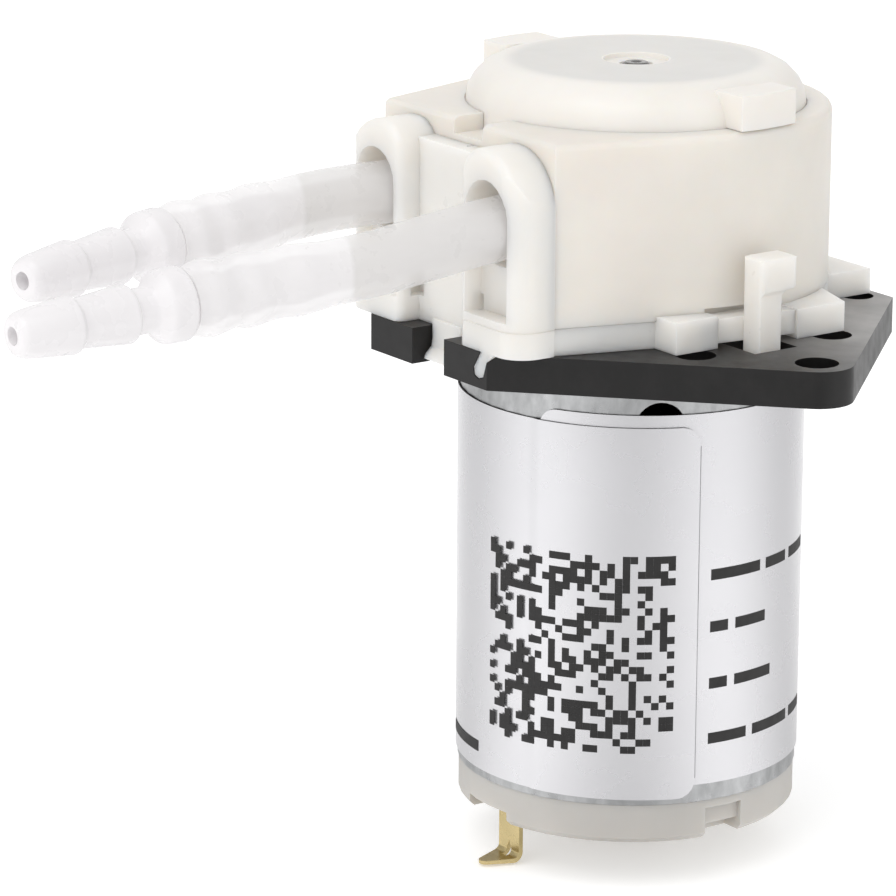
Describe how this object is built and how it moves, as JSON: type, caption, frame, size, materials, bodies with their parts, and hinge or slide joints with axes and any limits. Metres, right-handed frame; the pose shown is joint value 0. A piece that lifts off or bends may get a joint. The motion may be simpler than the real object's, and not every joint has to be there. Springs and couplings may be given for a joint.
{
  "type": "peristaltic pump",
  "caption": "Small peristaltic dosing pump: DC motor below a diamond mounting plate, latched roller head above, and two silicone tube ends with barbed connectors at one side.",
  "frame": {"origin": "on the underside of the mounting plate, in the mirror plane, 16.1 mm behind the motor shaft axis, where the plate is solid", "axes": "+Z parallel to the motor shaft towards the pump head, -Y the way the tube ends leave, +X to the right when seen from the tube side"},
  "size_m": [0.054, 0.0796, 0.0649],
  "materials": {
    "black_plastic": "satin moulded",
    "can_steel": "nickel-plated, satin",
    "nylon": "natural nylon",
    "label_film": "silver film, satin",
    "brass": "stamped",
    "bronze": "sintered",
    "ferrite": "dull ferrite",
    "carbon": "dull carbon",
    "screw_steel": "zinc-plated",
    "shaft_steel": "ground",
    "core_steel": "laminated",
    "copper": "enamelled",
    "white_plastic": "natural white, semi-gloss",
    "ivory_plastic": "warm ivory, satin",
    "cover_plastic": "milky translucent",
    "silicone": "translucent silicone",
    "connector_plastic": "translucent white",
    "roller_plastic": "smooth"
  },
  "bodies": {
    "pump_frame": {"mounting_plate": "black_plastic", "motor_can": "can_steel", "motor_endcap": "nylon", "motor_label": "label_film", "terminal_front": "brass", "terminal_back": "brass", "front_bearing": "bronze", "rear_bearing": "bronze", "magnet_right": "ferrite", "magnet_left": "ferrite", "brush_right": "carbon", "brush_left": "carbon", "plate_screw_front": "screw_steel", "plate_screw_back": "screw_steel", "head_base": "white_plastic", "head_housing": "ivory_plastic", "top_cover": "cover_plastic", "cover_bushing": "bronze", "silicone_tube": "silicone", "connector_front": "connector_plastic", "connector_back": "connector_plastic"},
    "rotor": {"motor_shaft": "shaft_steel", "armature_core": "core_steel", "winding_1": "copper", "winding_2": "copper", "winding_3": "copper", "commutator": "copper", "drive_sleeve": "shaft_steel"},
    "roller_carrier": {"carrier_lower": "black_plastic", "carrier_upper": "black_plastic", "roller_pin_1": "shaft_steel", "roller_pin_2": "shaft_steel", "roller_pin_3": "shaft_steel"},
    "roller_body_1": {"roller_1": "roller_plastic"},
    "roller_body_2": {"roller_2": "roller_plastic"},
    "roller_body_3": {"roller_3": "roller_plastic"},
    "right_latch": {"latch_right": "white_plastic"},
    "left_latch": {"latch_left": "white_plastic"}
  },
  "joints": [
    {"name": "motor_spin", "type": "hinge", "parent": "pump_frame", "child": "rotor", "pos_m": [0, -0.0161, 0], "axis": [0, 0, 1], "continuous": true},
    {"name": "carrier_spin", "type": "hinge", "parent": "pump_frame", "child": "roller_carrier", "pos_m": [0, -0.0161, 0.0127], "axis": [0, 0, 1], "continuous": true},
    {"name": "roller_1_spin", "type": "hinge", "parent": "roller_carrier", "child": "roller_body_1", "pos_m": [0.00591, -0.01269, 0.0127], "axis": [0, 0, 1], "continuous": true},
    {"name": "roller_2_spin", "type": "hinge", "parent": "roller_carrier", "child": "roller_body_2", "pos_m": [-0.00591, -0.01269, 0.0127], "axis": [0, 0, 1], "continuous": true},
    {"name": "roller_3_spin", "type": "hinge", "parent": "roller_carrier", "child": "roller_body_3", "pos_m": [0, -0.02292, 0.0127], "axis": [0, 0, 1], "continuous": true},
    {"name": "right_latch_pivot", "type": "hinge", "parent": "pump_frame", "child": "right_latch", "pos_m": [0.0154, -0.0168, 0.00425], "axis": [0, 1, 0], "range_deg": [0, 12]},
    {"name": "left_latch_pivot", "type": "hinge", "parent": "pump_frame", "child": "left_latch", "pos_m": [-0.0154, -0.0168, 0.00425], "axis": [0, -1, 0], "range_deg": [0, 12]}
  ],
  "couplings": [
    {"joint": "carrier_spin", "follows": "motor_spin", "ratio": 0.12132},
    {"joint": "roller_1_spin", "follows": "motor_spin", "ratio": -0.28152},
    {"joint": "roller_2_spin", "follows": "motor_spin", "ratio": -0.28152},
    {"joint": "roller_3_spin", "follows": "motor_spin", "ratio": -0.28152}
  ]
}
